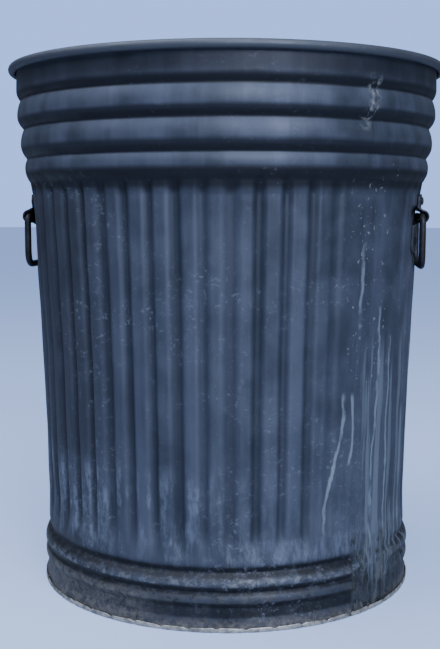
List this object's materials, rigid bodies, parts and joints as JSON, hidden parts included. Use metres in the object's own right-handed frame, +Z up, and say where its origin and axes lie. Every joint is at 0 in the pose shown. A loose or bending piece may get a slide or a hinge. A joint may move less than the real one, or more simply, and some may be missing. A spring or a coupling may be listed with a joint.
{
  "type": "corrugated steel dustbin",
  "caption": "Open-topped corrugated galvanised steel dustbin with a wired rim, rolled bands, a raised base and a swinging ring handle on each side.",
  "frame": {"origin": "centre of the foot ring, on the ground", "axes": "+Z up, handles on +X and -X, side seam on the front right, between -Y and +X"},
  "size_m": [0.46, 0.46, 0.545],
  "materials": {
    "body_zinc": "dull weathered zinc, satin",
    "foot_zinc": "scuffed zinc with grime",
    "rim_steel": "dull zinc-coated wire",
    "bracket_steel": "dark dull steel",
    "handle_rod": "dark dull steel with slight rust",
    "rivet_steel": "dull zinc-coated steel"
  },
  "bodies": {
    "bin": {"body_shell": "body_zinc", "rim_wire": "rim_steel", "base_pan": "foot_zinc", "right_handle_bracket": "bracket_steel", "right_rivet_upper_front": "rivet_steel", "right_washer_upper_front": "rivet_steel", "right_rivet_upper_back": "rivet_steel", "right_washer_upper_back": "rivet_steel", "right_rivet_lower_front": "rivet_steel", "right_washer_lower_front": "rivet_steel", "right_rivet_lower_back": "rivet_steel", "right_washer_lower_back": "rivet_steel", "left_handle_bracket": "bracket_steel", "left_rivet_upper_front": "rivet_steel", "left_washer_upper_front": "rivet_steel", "left_rivet_upper_back": "rivet_steel", "left_washer_upper_back": "rivet_steel", "left_rivet_lower_front": "rivet_steel", "left_washer_lower_front": "rivet_steel", "left_rivet_lower_back": "rivet_steel", "left_washer_lower_back": "rivet_steel"},
    "right_handle": {"right_bail": "handle_rod"},
    "left_handle": {"left_bail": "handle_rod"}
  },
  "joints": [
    {"name": "right_handle_swing", "type": "hinge", "parent": "bin", "child": "right_handle", "pos_m": [0.2074, 0, 0.39], "axis": [0, -1, 0], "range_deg": [0, 167]},
    {"name": "left_handle_swing", "type": "hinge", "parent": "bin", "child": "left_handle", "pos_m": [-0.2074, 0, 0.39], "axis": [0, 1, 0], "range_deg": [0, 167]}
  ]
}
